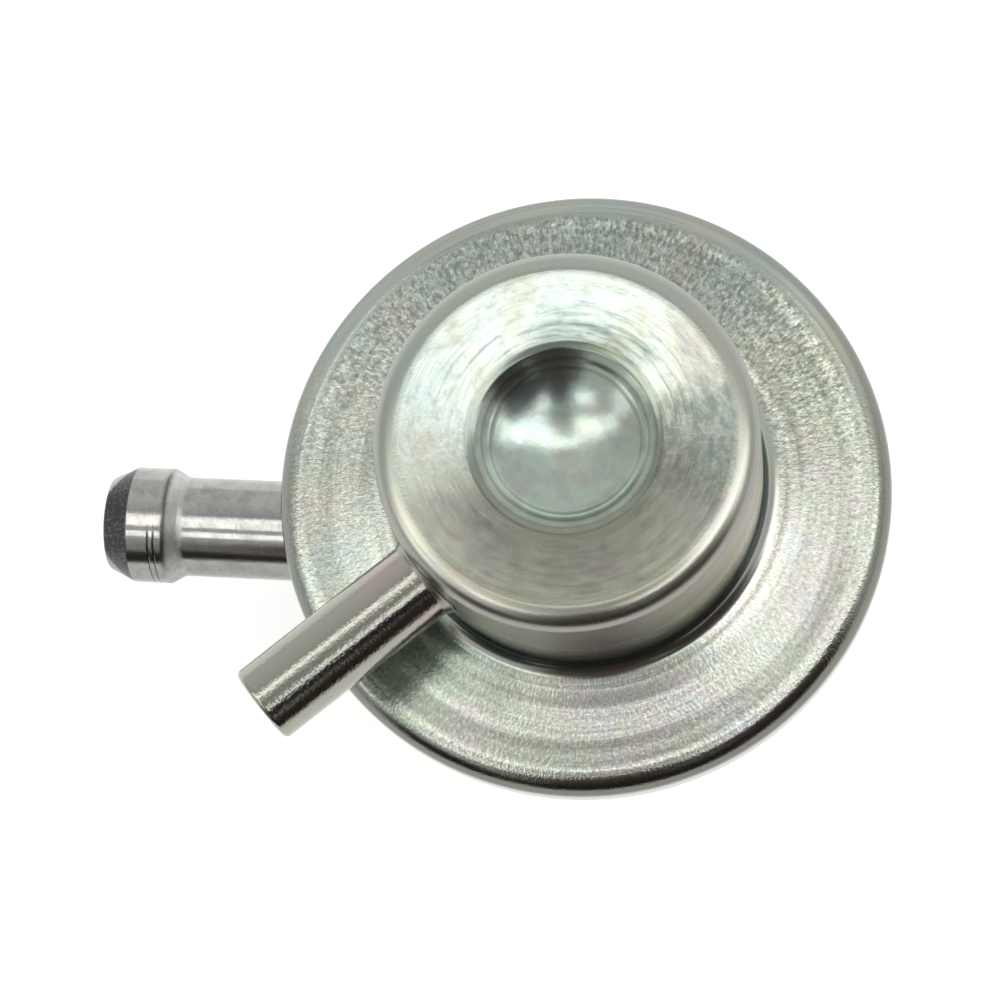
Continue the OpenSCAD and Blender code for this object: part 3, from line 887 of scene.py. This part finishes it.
# Camera at the photograph's place, fitted to the part's outlines, in metres and with a lens in mm
CAMERA_LENS = 101.135
CAMERA_SENSOR = 36.0
CAMERA_NEAR = 0.01
CAMERA_RIGHT = Vector((0.9923829, 0.0662222, -0.1038787))
CAMERA_UP = Vector((-0.0426714, 0.9758087, 0.2144212))
CAMERA_BACK = Vector((0.1155652, -0.2083553, 0.9712017))
CAMERA_PLACE = Vector((0.0176254, -0.0435826, 0.2433954))

camera_data = bpy.data.cameras.new("camera")
camera_data.lens = CAMERA_LENS
camera_data.sensor_width = CAMERA_SENSOR
camera_data.clip_start = CAMERA_NEAR
camera = bpy.data.objects.new("camera", camera_data)
camera.matrix_world = Matrix((CAMERA_RIGHT, CAMERA_UP, CAMERA_BACK)).transposed().to_4x4()
camera.matrix_world.translation = CAMERA_PLACE
bpy.context.scene.collection.objects.link(camera)
bpy.context.scene.camera = camera

# The stage, in metres: the height that cards and lamps face, and how far away the lamps stand
MIDDLE_Z = 0.05
MIDDLE = Vector((0, 0, MIDDLE_Z))
LAMP_DISTANCE = 0.9
FLOOR_SIZE = 6
FLOOR_GAP = 0.0001
FLOOR_GLOW = 0.36
# A card's edge fades out between these shares of its size from its middle
CARD_FADE = (0.5, 0.32)


def aimed(azimuth, elevation):
    """A direction from the part, in degrees."""
    a, e = math.radians(azimuth), math.radians(elevation)
    return Vector((math.cos(a) * math.cos(e), math.sin(a) * math.cos(e), math.sin(e)))


def placed(place, direction):
    """The matrix of an object that stands at a place with its +Z along a direction."""
    return Matrix.Translation(place) @ direction.to_track_quat("Z", "Y").to_matrix().to_4x4()


def plane(name, size_x, size_y, place, direction):
    """A flat card that faces along direction."""
    a, b = size_x / 2, size_y / 2
    mesh = bpy.data.meshes.new(name)
    mesh.from_pydata([(-a, -b, 0), (a, -b, 0), (a, b, 0), (-a, b, 0)], [], [(0, 1, 2, 3)])
    obj = bpy.data.objects.new(name, mesh)
    bpy.context.scene.collection.objects.link(obj)
    obj.matrix_world = placed(place, direction)
    return obj


def floor_white(name):
    """A white floor that glows a little where the camera or a reflection sees it."""
    made, t = material(name)
    path = t.node("ShaderNodeLightPath").outputs
    mirrored = t.math("MAXIMUM", path["Is Glossy Ray"], path["Is Transmission Ray"])
    seen = t.math("MAXIMUM", path["Is Camera Ray"], mirrored)
    matte = t.node("ShaderNodeBsdfDiffuse", {"Color": rgb(0.92, 0.92, 0.92)})
    glow = t.node("ShaderNodeEmission", {"Color": rgb(1, 1, 1), "Strength": t.times(seen, FLOOR_GLOW)})
    both = t.node("ShaderNodeAddShader", {0: matte.outputs[0], 1: glow.outputs[0]})
    t.node("ShaderNodeOutputMaterial", {"Surface": both.outputs[0]})
    return made


def flag(name, size_x, size_y, place, direction, colour):
    """A card with soft edges beside the camera, as metal needs something dark to show its form."""
    card = plane(name, size_x, size_y, place, direction)
    made, t = material(name + "_paint")
    shares = t.node("ShaderNodeTexCoord").outputs["Generated"]
    spots = t.node("ShaderNodeSeparateXYZ", {0: shares}).outputs
    across = t.minus(spots[0], 0.5)
    upward = t.minus(spots[1], 0.5)
    spread = t.math("SQRT", t.add(t.times(across, across), t.times(upward, upward)))
    matte = t.node("ShaderNodeBsdfDiffuse", {"Color": colour}).outputs[0]
    clear = t.node("ShaderNodeBsdfTransparent").outputs[0]
    soft = t.node("ShaderNodeMixShader", {0: t.smooth(spread, *CARD_FADE), 1: clear, 2: matte})
    t.node("ShaderNodeOutputMaterial", {"Surface": soft.outputs[0]})
    paint(card, made)
    card.visible_camera = False
    card.visible_shadow = False


def lamp(name, width, height, radiance, colour):
    """An area lamp of a stated radiance."""
    data = bpy.data.lights.new(name, "AREA")
    data.shape = "RECTANGLE"
    data.size = width
    data.size_y = height
    data.energy = radiance * math.pi * data.size * data.size_y
    data.color = colour
    obj = bpy.data.objects.new(name, data)
    bpy.context.scene.collection.objects.link(obj)
    return obj


floor = plane("floor", FLOOR_SIZE, FLOOR_SIZE, (0, 0, RETURN_END_Z * MM - FLOOR_GAP), Vector((0, 0, 1)))
paint(floor, floor_white("floor_paint"))

for name, azimuth, elevation, distance, width, height, colour in (
    ("flag_camera", 289, 78, 0.23, 0.11, 0.085, rgb(0.55, 0.55, 0.55)),
    ("flag_head", 276, 55, 0.6, 0.28, 0.3, rgb(0.075, 0.047, 0.045)),
    ("flag_body", 275, 30, 0.6, 0.56, 0.56, rgb(0.1, 0.07, 0.056)),
    ("flag_right", 323, 45, 0.5, 0.54, 0.27, rgb(0.035, 0.035, 0.05)),
    ("flag_low_left", 238, 5, 0.3, 0.24, 0.22, rgb(0.05, 0.044, 0.042)),
    ("flag_low_front", 283, 4, 0.3, 0.46, 0.26, rgb(0.048, 0.037, 0.031)),
    ("flag_low_right", 322, 17, 0.3, 0.3, 0.3, rgb(0.06, 0.042, 0.032)),
    ("flag_ceiling", 100, 71, 0.6, 0.3, 0.13, rgb(0.5, 0.5, 0.48)),
):
    way = aimed(azimuth, elevation)
    flag(name, width, height, MIDDLE + way * distance, -way, colour)

# Level lamps over the part; x and y are slopes from the part to a lamp's edges
WHITE = (1.0, 1.0, 1.0)
for name, x0, x1, y0, y1, radiance, colour in (
    ("lamp_left", -0.75, -0.2, -0.24, 0.14, 2.1, (1.0, 0.98, 0.9)),
    ("lamp_left_far", -1.2, -0.75, -0.3, 0.0, 1.4, (1.0, 0.98, 0.92)),
    ("lamp_left_low", -0.6, -0.2, -0.72, -0.45, 2.0, WHITE),
    ("lamp_middle", -0.1, 0.08, 0.07, 0.25, 1.95, (1.0, 1.0, 0.99)),
    ("lamp_middle_left", -0.27, -0.1, 0.07, 0.222, 2.25, (1.0, 1.0, 0.98)),
    ("lamp_right", 0.08, 0.72, -0.22, 0.27, 2.1, WHITE),
    ("lamp_right_far", 0.7, 0.95, 0.1, 0.34, 1.5, WHITE),
    ("lamp_right_low", 0.27, 0.58, -0.58, -0.32, 2.1, WHITE),
):
    softbox = lamp(name, (x1 - x0) * LAMP_DISTANCE, (y1 - y0) * LAMP_DISTANCE, radiance, colour)
    middle_x = (x0 + x1) / 2 * LAMP_DISTANCE
    middle_y = (y0 + y1) / 2 * LAMP_DISTANCE
    softbox.location = (middle_x, middle_y, MIDDLE_Z + LAMP_DISTANCE)

# Lamps that face the part from a direction in degrees
for name, azimuth, elevation, width, height, radiance in (
    ("window_left", 204, 30, 0.3, 0.25, 1.2),
    ("window_right", 6, 43, 0.36, 0.36, 1.6),
):
    way = aimed(azimuth, elevation)
    window = lamp(name, width, height, radiance, WHITE)
    window.matrix_world = placed(MIDDLE + way * LAMP_DISTANCE, way)

# A grey room that is paler towards +Y, and the values of a direction's y between which it changes
ROOM_NEAR = rgb(0.655, 0.67, 0.655)
ROOM_FAR = rgb(0.88, 0.89, 0.87)
ROOM_FADE = (0.2, 0.75)
world = bpy.data.worlds.new("room")
bpy.context.scene.world = world
world.use_nodes = True
room = Tree(world.node_tree)
looking = room.node("ShaderNodeTexCoord").outputs["Generated"]
ahead = room.node("ShaderNodeSeparateXYZ", {0: looking}).outputs[1]
walls = room.mix(room.smooth(ahead, *ROOM_FADE), ROOM_NEAR, ROOM_FAR)
light = room.node("ShaderNodeBackground", {"Color": walls, "Strength": 1.0})
room.node("ShaderNodeOutputWorld", {"Surface": light.outputs[0]})

bpy.context.scene.view_settings.view_transform = "Standard"

bpy.context.view_layer.update()
